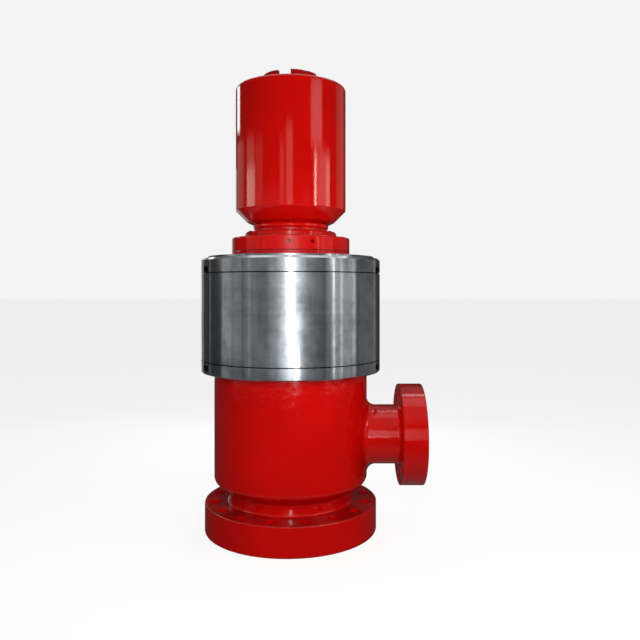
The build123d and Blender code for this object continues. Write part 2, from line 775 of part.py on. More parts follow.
pieces = {
    "bottom_flange": bottom_flange,
    "body_casting": body_casting,
    "side_flange": side_flange,
    "bearing_housing": bearing_housing,
    "lower_shaft_seal": lower_shaft_seal,
    "lower_outer_race": lower_outer_race,
    "upper_outer_race": upper_outer_race,
    "outer_race_spacer": outer_race_spacer,
    "bearing_cap": bearing_cap,
    "grease_plug": grease_plug,
    "upper_shaft_seal": upper_shaft_seal,
    "seal_cap": seal_cap,
    **clamp_segments,
    "mandrel": mandrel,
    "lower_inner_race": lower_inner_race,
    "upper_inner_race": upper_inner_race,
    "inner_race_spacer": inner_race_spacer,
    "wear_sleeve": wear_sleeve,
    "slinger": slinger,
    "pot": pot,
    "pot_cover": pot_cover,
    "drive_crown": drive_crown,
    "upper_stripper_ring": upper_stripper_ring,
    "upper_stripper_rubber": upper_stripper_rubber,
    "stripper_carrier": stripper_carrier,
    "lower_stripper_ring": lower_stripper_ring,
    "lower_stripper_rubber": lower_stripper_rubber,
}

os.makedirs("parts", exist_ok=True)
for piece_name, piece in pieces.items():
    piece.part.label = piece_name
    export_step(piece.part, f"parts/{piece_name}.step")
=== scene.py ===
"""Looks for the rotating blowout preventer: its finishes, its screws and the studio round it."""

import math

import bpy
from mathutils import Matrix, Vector


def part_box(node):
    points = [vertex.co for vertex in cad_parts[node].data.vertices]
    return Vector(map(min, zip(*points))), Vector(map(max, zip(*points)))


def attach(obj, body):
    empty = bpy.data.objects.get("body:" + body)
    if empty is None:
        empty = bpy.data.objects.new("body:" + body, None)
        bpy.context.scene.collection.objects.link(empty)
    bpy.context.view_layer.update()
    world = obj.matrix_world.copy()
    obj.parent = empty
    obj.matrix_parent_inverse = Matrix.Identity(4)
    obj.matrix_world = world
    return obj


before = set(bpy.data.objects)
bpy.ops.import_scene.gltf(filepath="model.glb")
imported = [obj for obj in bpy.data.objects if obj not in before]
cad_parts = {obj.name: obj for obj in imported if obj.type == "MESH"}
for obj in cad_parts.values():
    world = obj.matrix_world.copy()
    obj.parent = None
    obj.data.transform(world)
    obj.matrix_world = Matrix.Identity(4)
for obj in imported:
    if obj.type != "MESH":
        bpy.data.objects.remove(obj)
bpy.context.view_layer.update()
bpy.ops.object.select_all(action="DESELECT")

# Camera: level, at the height of the clamp, a little to the right of the axis and close in front.
# The lens and the shift give the photograph's frame.
camera_x = 0.1154
camera_data = bpy.data.cameras.new("camera")
camera_data.sensor_width = 36.0
camera_data.lens = 37.49
camera_data.shift_y = -0.048
camera = bpy.data.objects.new("camera", camera_data)
camera.location = (camera_x, -2.645, 0.9366)
camera.rotation_euler = (math.pi / 2, 0.0, 0.0)
bpy.context.scene.collection.objects.link(camera)
bpy.context.scene.camera = camera
bpy.context.scene.view_settings.view_transform = "Standard"

# Floor: plain and pale, and so large that it meets the pale sky. It glows where the camera sees it,
# so that it stays pale round the object, and throws less light up at the object than it shows.
floor_size = 120.0
floor_tone = 0.20
floor_seen_glow = 0.84
floor_lit_glow = 0.08
bpy.ops.mesh.primitive_plane_add(size=floor_size, location=(0.0, 0.0, 0.0))
floor = bpy.context.object
floor.name = "floor"
floor_paint = bpy.data.materials.new("floor_paint")
floor_paint.use_nodes = True
floor_nodes = floor_paint.node_tree.nodes
floor_shader = floor_nodes["Principled BSDF"]
floor_shader.inputs["Base Color"].default_value = (floor_tone, floor_tone, floor_tone, 1.0)
floor_shader.inputs["Roughness"].default_value = 0.9
floor_shader.inputs["Specular IOR Level"].default_value = 0.0
floor_shader.inputs["Emission Color"].default_value = (1.0, 1.0, 1.0, 1.0)
floor_rays = floor_nodes.new("ShaderNodeLightPath")
floor_glow = floor_nodes.new("ShaderNodeMix")
floor_glow.inputs["A"].default_value = floor_lit_glow
floor_glow.inputs["B"].default_value = floor_seen_glow
floor_paint.node_tree.links.new(floor_rays.outputs["Is Camera Ray"], floor_glow.inputs["Factor"])
floor_paint.node_tree.links.new(floor_glow.outputs[0], floor_shader.inputs["Emission Strength"])
floor.data.materials.append(floor_paint)
floor.visible_glossy = False

# Sky: pale where the camera sees it, and dim as a light. Gloss and steel see the dark walls of a
# workshop in it, because that is what gives them their contrast, and over and under them a lit
# ceiling and a pale floor, each between two heights of the line of sight.
sky_seen = 0.90
sky_light = 0.12
walls_in_gloss = 0.045
ceiling_in_gloss = 0.34
floor_in_gloss = 0.13
gloss_bands = ((0.45, 0.80, ceiling_in_gloss), (-0.42, -0.75, floor_in_gloss))
world = bpy.data.worlds.new("studio")
bpy.context.scene.world = world
world.use_nodes = True
world.cycles.sampling_method = "NONE"
sky_nodes = world.node_tree.nodes
sky_links = world.node_tree.links
sky = sky_nodes["Background"]
sky.inputs["Color"].default_value = (1.0, 1.0, 1.0, 1.0)
look = sky_nodes.new("ShaderNodeTexCoord")
steepness = sky_nodes.new("ShaderNodeSeparateXYZ")
sky_links.new(look.outputs["Generated"], steepness.inputs["Vector"])
in_gloss = None
for start, end, glow in gloss_bands:
    share = sky_nodes.new("ShaderNodeMapRange")
    share.inputs["From Min"].default_value = start
    share.inputs["From Max"].default_value = end
    sky_links.new(steepness.outputs["Z"], share.inputs["Value"])
    band = sky_nodes.new("ShaderNodeMath")
    band.operation = "MULTIPLY_ADD"
    band.inputs[1].default_value = glow
    band.inputs[2].default_value = walls_in_gloss
    sky_links.new(share.outputs[0], band.inputs[0])
    if in_gloss:
        sky_links.new(in_gloss, band.inputs[2])
    in_gloss = band.outputs[0]
rays = sky_nodes.new("ShaderNodeLightPath")
for_gloss = sky_nodes.new("ShaderNodeMix")
for_gloss.inputs["A"].default_value = sky_light
for_eye = sky_nodes.new("ShaderNodeMix")
for_eye.inputs["B"].default_value = sky_seen
sky_links.new(rays.outputs["Is Glossy Ray"], for_gloss.inputs["Factor"])
sky_links.new(in_gloss, for_gloss.inputs["B"])
sky_links.new(rays.outputs["Is Camera Ray"], for_eye.inputs["Factor"])
sky_links.new(for_gloss.outputs[0], for_eye.inputs["A"])
sky_links.new(for_eye.outputs[0], sky.inputs["Strength"])

# Light panels: upright softboxes and tubes that show as streaks in the gloss and in the steel. Each
# has its angle to the right of straight ahead, its lowest and highest point, its width in degrees,
# its glow, the share of it that fades out to its sides, and its tint.
panel_reach = 2.8
warm_white = (1.0, 0.90, 0.76)
tan_white = (1.0, 0.80, 0.58)
cool_white = (0.97, 0.99, 1.0)
light_panels = (
    ("panel_front_high", -0.5, 1.50, 2.18, 17.0, 1.3, 0.60, warm_white),
    ("panel_front_core", -0.5, 1.70, 2.02, 12.0, 1.0, 0.60, warm_white),
    ("panel_front_mid", 0.0, 1.38, 1.50, 8.0, 8.0, 0.20, warm_white),
    ("panel_front_wide", 3.5, 0.28, 1.45, 62.0, 0.95, 1.00, cool_white),
    ("panel_front_low", 2.8, 0.28, 1.45, 36.0, 0.85, 1.00, cool_white),
    ("strip_front_foot", 9.5, 0.345, 0.385, 7.0, 20.0, 0.30, cool_white),
    ("panel_front_left", -15.0, 1.55, 2.05, 9.0, 0.8, 0.30, warm_white),
    ("tube_right_high", 52.0, 1.42, 1.96, 6.5, 13.0, 0.60, warm_white),
    ("tube_right_low", 53.5, 0.24, 1.42, 1.8, 2.3, 0.30, cool_white),
    ("tube_right_edge", 64.0, 0.24, 1.42, 1.5, 1.3, 0.30, cool_white),
    ("tube_right_far", 83.0, 0.24, 1.42, 3.0, 0.45, 0.50, cool_white),
    ("panel_right_top", 54.5, 2.03, 2.54, 25.0, 1.6, 0.10, cool_white),
    ("panel_right_high", 72.0, 1.50, 1.99, 32.0, 1.5, 0.15, warm_white),
    ("panel_right_peak", 81.0, 1.50, 1.92, 11.0, 2.2, 0.30, warm_white),
    ("panel_right_low", 65.0, 0.24, 1.45, 45.0, 0.19, 0.08, cool_white),
    ("panel_right_mid", 71.5, 0.24, 1.45, 32.0, 0.20, 0.08, cool_white),
    ("panel_right_dim", 113.0, 0.24, 1.45, 50.0, 0.11, 0.20, cool_white),
    ("panel_back_right", 124.0, 1.45, 2.60, 38.0, 0.36, 0.30, tan_white),
    ("panel_left_high", -85.0, 1.50, 1.87, 25.0, 3.8, 0.20, warm_white),
    ("panel_left_above", -86.0, 1.87, 2.10, 24.0, 0.9, 0.30, warm_white),
    ("panel_left_beside", -64.0, 1.50, 2.08, 24.0, 0.45, 0.60, warm_white),
    ("panel_left_low", -79.0, 0.24, 1.50, 19.0, 0.31, 0.20, cool_white),
    ("panel_left_mid", -63.0, 0.24, 1.50, 14.0, 0.23, 0.20, cool_white),
    ("tube_left", -46.5, 0.24, 1.60, 1.6, 0.28, 0.30, cool_white),
    ("panel_soft_left", -36.0, 0.24, 1.70, 44.0, 0.18, 0.30, cool_white),
    ("panel_soft_right", 33.0, 0.24, 1.70, 24.0, 0.16, 0.80, cool_white),
    ("panel_back", -153.0, 0.24, 1.90, 18.0, 0.9, 1.00, cool_white),
    ("panel_back_left_top", -133.0, 2.18, 2.58, 22.0, 6.0, 0.70, cool_white),
    ("panel_back_left_high", -124.0, 1.50, 2.10, 44.0, 0.50, 0.60, tan_white),
    ("panel_back_left", -140.0, 0.24, 1.45, 14.0, 0.22, 0.80, cool_white),
)


def new_softbox(light_name, place, width, height, glow):
    """An area light that the camera doesn't see, given by its glow, whatever its size."""
    light_data = bpy.data.lights.new(light_name, "AREA")
    light_data.shape = "RECTANGLE"
    light_data.size = width
    light_data.size_y = height
    light_data.energy = glow * math.pi * width * height
    light = bpy.data.objects.new(light_name, light_data)
    light.location = place
    light.visible_camera = False
    bpy.context.scene.collection.objects.link(light)
    return light


def fade_sides(light_data, share):
    """Lets the glow of an area light fade out over a share of its width, as a softbox does."""
    light_data.use_nodes = True
    light_tree = light_data.node_tree
    glow_node = light_tree.nodes["Emission"]
    across = light_tree.nodes.new("ShaderNodeNewGeometry")
    parts = light_tree.nodes.new("ShaderNodeSeparateXYZ")
    from_side = light_tree.nodes.new("ShaderNodeMath")
    from_side.operation = "PINGPONG"
    from_side.inputs[1].default_value = 0.5
    fade = light_tree.nodes.new("ShaderNodeMapRange")
    fade.interpolation_type = "SMOOTHSTEP"
    fade.inputs["From Max"].default_value = share / 2
    light_tree.links.new(across.outputs["Parametric"], parts.inputs["Vector"])
    light_tree.links.new(parts.outputs["X"], from_side.inputs[0])
    light_tree.links.new(from_side.outputs[0], fade.inputs["Value"])
    light_tree.links.new(fade.outputs[0], glow_node.inputs["Strength"])


for panel_name, angle, low, high, spread, glow, faded, tint in light_panels:
    turn = math.radians(angle)
    panel_place = (panel_reach * math.sin(turn), -panel_reach * math.cos(turn), (low + high) / 2)
    panel_width = 2 * panel_reach * math.tan(math.radians(spread / 2))
    panel = new_softbox(panel_name, panel_place, panel_width, high - low, glow)
    panel.rotation_euler = (math.pi / 2, 0.0, turn)
    panel.data.color = tint
    fade_sides(panel.data, faded)

# Ceiling lights: a tube behind the object, which draws the pale line along the side flange, and a
# wide dim panel over it, which lights the edges that look up. Each has its middle, size and glow.
ceiling_height = 3.2
ceiling_lights = (
    ("ceiling_tube", 0.3, 0.80, 2.6, 0.28, 3.5),
    ("ceiling_panel", 0.0, -0.25, 2.4, 1.2, 0.7),
)
for light_name, x, y, width, depth, glow in ceiling_lights:
    new_softbox(light_name, (x, y, ceiling_height), width, depth, glow)

# Fill flash beside the lens: small, so that it shows as white points on the rounded rims of the
# bottom flange and as the white core of the streak on the steel
flash_side = 0.085
flash_glow = 300.0
flash = new_softbox("flash", (camera_x, -2.7, 0.94), flash_side, flash_side, flash_glow)
flash.rotation_euler = (math.pi / 2, 0.0, 0.0)

# Key light: one large softbox close in front, at the height of the clamp, so that the light falls off
# towards the foot and the crown of the machine. Two more light its right side and its back, and
# none of them shows in the gloss. Each has its place, side and glow.
key_lights = (
    ("key_light", (0.14, -1.60, 1.06), 0.8, 7.8),
    ("side_light", (2.50, -0.70, 1.10), 1.2, 2.2),
    ("back_light", (0.10, 2.20, 1.15), 1.2, 5.0),
)
for light_name, light_place, side, glow in key_lights:
    light = new_softbox(light_name, light_place, side, side, glow)
    from_axis = Vector((light_place[0], light_place[1], 0.0))
    light.rotation_euler = from_axis.to_track_quat("Z", "Y").to_euler()
    light.visible_glossy = False

# Bottom flange: a steel forging with its neck, turned all over, drilled for sixteen studs and
# welded to the body, then sprayed with it in red gloss enamel. Slings have rubbed the paint thin on
# its rims, and its top is painted darker in patches, as painted shade and grime.
enamel_red = (0.53, 0.0020, 0.0009, 1.0)
enamel_deep_red = (0.44, 0.0015, 0.0007, 1.0)
rubbed_red = (0.30, 0.012, 0.008, 1.0)
bare_metal = (0.055, 0.045, 0.042, 1.0)
# Painted shade and grime: the brown that darkens the faces that look up
shade_and_grime_brown = (0.13, 0.005, 0.004, 1.0)
joint_black = (0.045, 0.002, 0.002, 1.0)
bottom_flange_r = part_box("bottom_flange")[1][0]
bottom_flange_t = 0.1127
neck_r = 0.241
neck_weld_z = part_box("bottom_flange")[1][2]
neck_weld = (neck_r, neck_weld_z)
weld_w = 0.011
weld_h = 0.0011
joint_half = 0.0009
joint_fade = 0.0008
joint_depth = 0.0006
ripple_h = 0.00012
chip_depth = 0.0002
# The slope and the patch cover of the painted shade and grime on faces that look up
top_shade_slope = (0.80, 0.98)
shade_and_grime_cover = (0.2, 0.8)
flake_reach = 0.55
thin_paint = (0.62, 0.95)
no_paint = (0.93, 0.98)
coat_weight = 0.9


def new_finish(finish_name):
    """A new material, its shader, a function that adds one node to it, and its links."""
    finish = bpy.data.materials.new(finish_name)
    finish.use_nodes = True
    tree = finish.node_tree

    def add(kind, settings=None, **sockets):
        """One node. Each socket is given by its name, or by an underscore and its number."""
        node = tree.nodes.new(kind)
        for setting, value in (settings or {}).items():
            setattr(node, setting, value)
        for socket_name, value in sockets.items():
            number = socket_name[1:]
            socket = node.inputs[int(number) if number.isdigit() else socket_name]
            if isinstance(value, bpy.types.NodeSocket):
                tree.links.new(value, socket)
            else:
                socket.default_value = value
        return node

    return finish, tree.nodes["Principled BSDF"], add, tree.links


def give_finish(finish, *node_names):
    """Puts one material on CAD nodes."""
    for node_name in node_names:
        for material_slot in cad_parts[node_name].material_slots:
            material_slot.material = finish


def blend_colours(add, share, first, second):
    """The colour between two, each a fixed colour or a socket, by a share of the second."""
    return add("ShaderNodeMix", {"data_type": "RGBA"}, _0=share, _6=first, _7=second).outputs[2]


def span(add, value, low, high, to_low=0.0, to_high=1.0):
    """A value stretched from one range to another and held at its ends."""
    return add("ShaderNodeMapRange", _0=value, _1=low, _2=high, _3=to_low, _4=to_high).outputs[0]


def reckon(add, operation, *values):
    """The result of one sum on numbers and sockets."""
    sockets = {f"_{number}": value for number, value in enumerate(values)}
    return add("ShaderNodeMath", {"operation": operation}, **sockets).outputs[0]


def mottle(add, place, scale, detail, roughness=0.5):
    """A cloudy pattern between 0 and 1."""
    return add("ShaderNodeTexNoise", Vector=place, Scale=scale, Detail=detail, Roughness=roughness).outputs[0]


def relief(add, pattern, height, under=None, sunk=False):
    """A surface raised or sunk by a pattern, on top of the relief under it if there is one."""
    below = {"Normal": under} if under else {}
    bump = add("ShaderNodeBump", {"invert": sunk}, Height=pattern, Strength=1.0, Distance=height, **below)
    return bump.outputs[0]


def round_place(add, place):
    """The distance of a point from the upright axis, and its height."""
    parts = add("ShaderNodeSeparateXYZ", Vector=place)
    flat = add("ShaderNodeCombineXYZ", X=parts.outputs["X"], Y=parts.outputs["Y"])
    out = add("ShaderNodeVectorMath", {"operation": "LENGTH"}, _0=flat.outputs[0])
    return out.outputs["Value"], parts.outputs["Z"]


def rim_distance(add, place, rims):
    """The distance of a point from the nearest of some circles, each a radius and a height."""
    out, up = round_place(add, place)
    nearest = 1.0
    for radius, height in rims:
        across = reckon(add, "SUBTRACT", out, radius)
        above = reckon(add, "SUBTRACT", up, height)
        offset = add("ShaderNodeCombineXYZ", X=across, Y=above)
        gap = add("ShaderNodeVectorMath", {"operation": "LENGTH"}, _0=offset.outputs[0])
        nearest = reckon(add, "MINIMUM", gap.outputs["Value"], nearest)
    return nearest


def lay_shade_and_grime(add, place, colour):
    """The colour of enamel painted darker in patches on all that faces up, as painted shade and grime."""
    facing = add("ShaderNodeSeparateXYZ", Vector=add("ShaderNodeNewGeometry").outputs["Normal"]).outputs["Z"]
    level = span(add, facing, *top_shade_slope)
    patches = span(add, mottle(add, place, 11.0, 4.0, 0.55), 0.35, 0.65, *shade_and_grime_cover)
    return blend_colours(add, reckon(add, "MULTIPLY", level, patches), colour, shade_and_grime_brown)


def rub_rims(add, place, from_rim, rub, colour):
    """The colour of enamel rubbed thin near a rim, and a map of the chips down to the steel."""
    edge = span(add, from_rim, rub, 0.0)
    flakes = mottle(add, place, 85.0, 6.0, 0.7)
    rubbed = reckon(add, "MULTIPLY_ADD", edge, flake_reach, flakes)
    near = span(add, edge, 0.0, 0.2)
    thin = reckon(add, "MULTIPLY", span(add, rubbed, *thin_paint), near)
    chips = reckon(add, "MULTIPLY", span(add, rubbed, *no_paint), near)
    colour = blend_colours(add, thin, colour, rubbed_red)
    return blend_colours(add, chips, colour, bare_metal), chips


def enamel(finish_name, lump_size, lump_h, coat_roughness, rims=(), rub=0.004, welds=(), joints=(), lay=None):
    """Red gloss enamel over steel. The lumps are the skin under the paint, the rims are where it is
    rubbed over a given width, the welds are ground beads, and the joints are fine dark gaps between
    two pieces. A level flange is turned up, and lay is the shift that centres it on the axis."""
    finish, shader, add, links = new_finish(finish_name)
    place = add("ShaderNodeTexCoord").outputs["Object"]
    turned = place
    if lay:
        turn_up = (0.0, -math.pi / 2, 0.0)
        turned = add("ShaderNodeMapping", Vector=place, Location=lay, Rotation=turn_up).outputs[0]

    drift = span(add, mottle(add, place, 3.5, 4.0), 0.35, 0.7)
    # Painted shade and grime darken the faces that look up
    colour = lay_shade_and_grime(add, place, blend_colours(add, drift, enamel_red, enamel_deep_red))
    skin = relief(add, mottle(add, place, 260.0, 1.0), ripple_h)
    skin = relief(add, mottle(add, place, 1.0 / lump_size, 3.0, 0.55), lump_h, skin)
    if welds:
        bead = span(add, rim_distance(add, turned, welds), weld_w, weld_w * 0.4)
        uneven = span(add, mottle(add, place, 45.0, 3.0), 0.3, 0.7, 0.5, 1.0)
        skin = relief(add, reckon(add, "MULTIPLY", bead, uneven), weld_h, skin)
    if joints:
        gap = span(add, rim_distance(add, turned, joints), joint_half + joint_fade, joint_half)
        colour = blend_colours(add, gap, colour, joint_black)
        skin = relief(add, gap, joint_depth, skin, sunk=True)
    if rims:
        colour, chips = rub_rims(add, place, rim_distance(add, turned, rims), rub, colour)
        skin = relief(add, chips, chip_depth, skin, sunk=True)

    dullness = span(add, mottle(add, place, 60.0, 5.0), 0.3, 0.8, 0.30, 0.5)
    links.new(colour, shader.inputs["Base Color"])
    links.new(dullness, shader.inputs["Roughness"])
    links.new(skin, shader.inputs["Normal"])
    links.new(skin, shader.inputs["Coat Normal"])
    shader.inputs["Specular IOR Level"].default_value = 0.0
    shader.inputs["Coat Weight"].default_value = coat_weight
    shader.inputs["Coat Roughness"].default_value = coat_roughness
    return finish


bottom_rims = ((bottom_flange_r, bottom_flange_t), (bottom_flange_r, 0.0))
bottom_enamel = enamel(
    "bottom_flange_enamel", lump_size=0.045, lump_h=0.0006, coat_roughness=0.07, rims=bottom_rims, rub=0.006,
    welds=(neck_weld,),
)
give_finish(bottom_enamel, "bottom_flange")

# Body: one steel casting with the neck of its outlet, welded to the flange and enamelled. The rough
# skin of the sand mould shows through the paint as soft lumps that break up every reflection.
body_enamel = enamel("body_enamel", lump_size=0.030, lump_h=0.0012, coat_roughness=0.09, welds=(neck_weld,))
give_finish(body_enamel, "body_casting")

# Side flange: a smaller forging of the same kind, welded to the neck of the outlet and drilled for
# twelve studs. Its rims are rubbed like those of the bottom flange.
outlet_z = (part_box("side_flange")[0][2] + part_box("side_flange")[1][2]) / 2
side_flange_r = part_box("side_flange")[1][2] - outlet_z
side_flange_t = 0.0921
side_face_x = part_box("side_flange")[1][0]
side_rims = ((side_flange_r, side_face_x), (side_flange_r, side_face_x - side_flange_t))
side_enamel = enamel(
    "side_flange_enamel", lump_size=0.045, lump_h=0.0005, coat_roughness=0.07, rims=side_rims, rub=0.005,
    lay=(outlet_z, 0.0, 0.0),
)
give_finish(side_enamel, "side_flange")

# Bearing housing and its two caps: turned from forgings, so that their enamel lies flat and shines.
# The housing stands in the body, and the caps close it and hold the shaft seal down. A fine dark
# line shows where the bearing cap lies on the housing.
cap_top_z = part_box("bearing_cap")[1][2]
cap_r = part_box("bearing_cap")[1][0]
cap_spigot_h = 0.022
cap_joint_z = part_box("bearing_cap")[0][2] + cap_spigot_h
seal_cap_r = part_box("seal_cap")[1][0]
seal_cap_top_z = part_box("seal_cap")[1][2]
cap_rims = ((cap_r, cap_top_z), (seal_cap_r, seal_cap_top_z))
cap_enamel = enamel(
    "cap_enamel", lump_size=0.08, lump_h=0.0003, coat_roughness=0.06, rims=cap_rims, rub=0.003,
    joints=((cap_r, cap_joint_z),),
)
give_finish(cap_enamel, "bearing_housing", "bearing_cap", "seal_cap")

# Screws of the bearing cap: twelve low-head screws with hexagon sockets that hold the cap down on
# the barrel of the housing. They are steel, painted over with the cap, and keys have worn the paint.
cap_screw_count = 12
cap_screw_pitch_r = (cap_r + seal_cap_r) / 2
cap_screw_first = math.radians(15.0)
cap_screw_h = 0.0042
round_sides = 48


def socket_head(head_r, head_h, hexagon, depth, rim):
    """One screw head, standing at the origin with its socket up: its radius and height, the width
    and depth of the hexagon, and the bevel of its rim."""
    bpy.ops.mesh.primitive_cylinder_add(
        vertices=round_sides, radius=head_r, depth=head_h, location=(0, 0, head_h / 2)
    )
    head = bpy.context.object
    bpy.ops.object.mode_set(mode="EDIT")
    bpy.ops.mesh.select_all(action="DESELECT")
    bpy.ops.object.mode_set(mode="OBJECT")
    for edge in head.data.edges:
        ends = [head.data.vertices[v].co for v in edge.vertices]
        edge.select = all(end.z > 0 for end in ends)
    bpy.ops.object.mode_set(mode="EDIT")
    bpy.ops.mesh.select_mode(type="EDGE")
    bpy.ops.mesh.bevel(offset=rim, segments=2)
    bpy.ops.object.mode_set(mode="OBJECT")
    socket_r = hexagon / math.sqrt(3)
    bpy.ops.mesh.primitive_cylinder_add(vertices=6, radius=socket_r, depth=2 * depth, location=(0, 0, head_h))
    socket = bpy.context.object
    bpy.ops.mesh.primitive_cone_add(
        vertices=round_sides, radius1=socket_r * 0.8, radius2=socket_r * 1.2, depth=rim * 2,
        location=(0, 0, head_h - rim / 2),
    )
    mouth = bpy.context.object
    for tool in (socket, mouth):
        bpy.ops.object.select_all(action="DESELECT")
        head.select_set(True)
        bpy.context.view_layer.objects.active = head
        cut = head.modifiers.new("cut", "BOOLEAN")
        cut.object = tool
        cut.operation = "DIFFERENCE"
        cut.solver = "EXACT"
        bpy.ops.object.modifier_apply(modifier=cut.name)
        bpy.data.objects.remove(tool)
    bpy.ops.object.transform_apply(location=True, rotation=True, scale=True)
    bpy.ops.object.shade_smooth_by_angle(angle=math.radians(35.0))
    return head


def set_screws(model, piece_name, places, finish):
    """Copies of one screw, each turned and moved to its place, joined to one piece."""
    copies = []
    for spot, turned in places:
        bpy.ops.object.select_all(action="DESELECT")
        model.select_set(True)
        bpy.context.view_layer.objects.active = model
        bpy.ops.object.duplicate()
        copy = bpy.context.object
        copy.rotation_euler = turned
        copy.location = spot
        bpy.ops.object.transform_apply(location=True, rotation=True, scale=True)
        copies.append(copy)
    bpy.ops.object.select_all(action="DESELECT")
    for copy in copies:
        copy.select_set(True)
    bpy.context.view_layer.objects.active = copies[0]
    bpy.ops.object.join()
    piece = bpy.context.object
    piece.name = piece_name
    piece.data.materials.append(finish)
    bpy.data.objects.remove(model)
    bpy.ops.object.select_all(action="DESELECT")
    return piece


def ring_places(count, radius, height, first=0.0):
    """Places round the axis, each with the turn that faces it outwards."""
    turns = [first + 2 * math.pi * step / count for step in range(count)]
    return [((radius * math.cos(a), radius * math.sin(a), height), (0.0, 0.0, a)) for a in turns]


worn_ring = (cap_screw_pitch_r, cap_top_z + cap_screw_h)
screw_enamel = enamel(
    "screw_enamel", lump_size=0.02, lump_h=0.0002, coat_roughness=0.08, rims=(worn_ring,), rub=0.02
)
cap_screw = socket_head(head_r=0.0115, head_h=cap_screw_h, hexagon=0.0105, depth=0.00315, rim=0.0007)
cap_screw_places = ring_places(cap_screw_count, cap_screw_pitch_r, cap_top_z, cap_screw_first)
cap_screws = set_screws(cap_screw, "bearing_cap_screws", cap_screw_places, screw_enamel)
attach(cap_screws, "housing")

# Screws of the seal cap: eight smaller ones of the same kind, in the ring round the shaft, that
# press the cap down on the shaft seal. They are painted over like the others.
seal_screw_count = 8
seal_screw_inset = 0.0165
seal_screw_pitch_r = seal_cap_r - seal_screw_inset
seal_screw_first = math.radians(22.5)
seal_screw = socket_head(head_r=0.0075, head_h=0.0030, hexagon=0.0065, depth=0.0022, rim=0.0005)
seal_screw_places = ring_places(seal_screw_count, seal_screw_pitch_r, seal_cap_top_z, seal_screw_first)
seal_screws = set_screws(seal_screw, "seal_cap_screws", seal_screw_places, screw_enamel)
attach(seal_screws, "housing")

# Grease plug: a threaded steel plug with a hexagon socket, plated with zinc, screwed into the first
# of the two ports of the bearing cap. It is painted dark towards its edge, as painted shade and old grease.
zinc_pale = (0.42, 0.38, 0.34, 1.0)
zinc_dull = (0.16, 0.13, 0.11, 1.0)
grease_and_shade_black = (0.02, 0.008, 0.006, 1.0)
plug_low, plug_high = (Vector(corner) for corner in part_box("grease_plug"))
plug_middle = (plug_low + plug_high) / 2
plug_r = (plug_high.z - plug_low.z) / 2
plug_axis = Vector((plug_middle.x, plug_middle.y, 0.0)).normalized()
plug_zinc, shader, add, links = new_finish("plug_zinc")
place = add("ShaderNodeTexCoord").outputs["Object"]
offset = add("ShaderNodeVectorMath", {"operation": "SUBTRACT"}, _0=place, _1=plug_middle)
beside = add("ShaderNodeVectorMath", {"operation": "CROSS_PRODUCT"}, _0=offset.outputs[0], _1=plug_axis)
from_axis = add("ShaderNodeVectorMath", {"operation": "LENGTH"}, _0=beside.outputs[0]).outputs["Value"]
speckle = mottle(add, place, 600.0, 4.0)
zinc = blend_colours(add, span(add, speckle, 0.35, 0.7), zinc_pale, zinc_dull)
# Painted shade and old grease: dark towards the edge of the plug
greasy_and_shaded = span(add, from_axis, plug_r * 0.5, plug_r * 0.72)
links.new(blend_colours(add, greasy_and_shaded, zinc, grease_and_shade_black), shader.inputs["Base Color"])
links.new(span(add, speckle, 0.3, 0.7, 0.35, 0.6), shader.inputs["Roughness"])
links.new(relief(add, speckle, 0.00006), shader.inputs["Normal"])
shader.inputs["Metallic"].default_value = 0.6
give_finish(plug_zinc, "grease_plug")

# Clamp: three forged segments that wedge the housing down on the body, turned and polished but not
# painted. The tool has left fine rings, and hands and weather have left dull clouds on the polish.
# The two grooves are painted dark as painted shade.
steel_pale = (0.585, 0.62, 0.67, 1.0)
steel_dull = (0.30, 0.32, 0.35, 1.0)
groove_shade_dark = (0.018, 0.018, 0.020, 1.0)
clamp_edge_r = 0.351
clamp_land_h = 0.008
clamp_low_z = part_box("clamp_segment_front")[0][2]
clamp_top_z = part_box("clamp_segment_front")[1][2] - clamp_land_h
clamp_groove_heights = (clamp_low_z + 0.046, clamp_top_z - 0.057)
clamp_groove_half = 0.0021
ring_share = 0.12
smear_share = 0.25
wipe_share = 0.25


def polish(finish_parts, place, pale, dull, roughness, anisotropy, rings):
    """Makes a finish steel turned on the upright axis, with fine rings that draw each light out
    along the piece, and gives the colour of its polish."""
    shader, add, links = finish_parts
    spot = add("ShaderNodeNewGeometry")
    round_axis = add("ShaderNodeVectorMath", {"operation": "CROSS_PRODUCT"}, _0=(0.0, 0.0, 1.0),
                     _1=spot.outputs["Position"])
    along = add("ShaderNodeVectorMath", {"operation": "CROSS_PRODUCT"}, _0=spot.outputs["Normal"],
                _1=round_axis.outputs[0])
    out, up = round_place(add, place)
    ring_place = add("ShaderNodeCombineXYZ", X=out, Y=up).outputs[0]
    wiped = add("ShaderNodeMapping", Vector=place, Scale=(1.0, 1.0, 0.07)).outputs[0]
    clouds = mottle(add, place, 8.0, 3.0)
    tone = reckon(add, "MULTIPLY_ADD", mottle(add, ring_place, 70.0, 2.0), ring_share, clouds)
    tone = reckon(add, "MULTIPLY_ADD", mottle(add, place, 26.0, 2.0), smear_share, tone)
    tone = reckon(add, "MULTIPLY_ADD", mottle(add, wiped, 75.0, 3.0, 0.6), wipe_share, tone)
    haze = span(add, tone, 0.65, 1.05, roughness * 0.85, roughness * 1.25)
    links.new(along.outputs[0], shader.inputs["Tangent"])
    links.new(relief(add, mottle(add, ring_place, 420.0, 1.0), rings), shader.inputs["Normal"])
    links.new(haze, shader.inputs["Roughness"])
    shader.inputs["Metallic"].default_value = 1.0
    shader.inputs["Anisotropic"].default_value = anisotropy
    return blend_colours(add, span(add, tone, 0.72, 1.05), pale, dull)


def near_height(add, up, height, half_width):
    """1 within half a width of a height, and 0 outside it."""
    gap = reckon(add, "ABSOLUTE", reckon(add, "SUBTRACT", up, height))
    return span(add, gap, half_width * 1.15, half_width * 0.9)


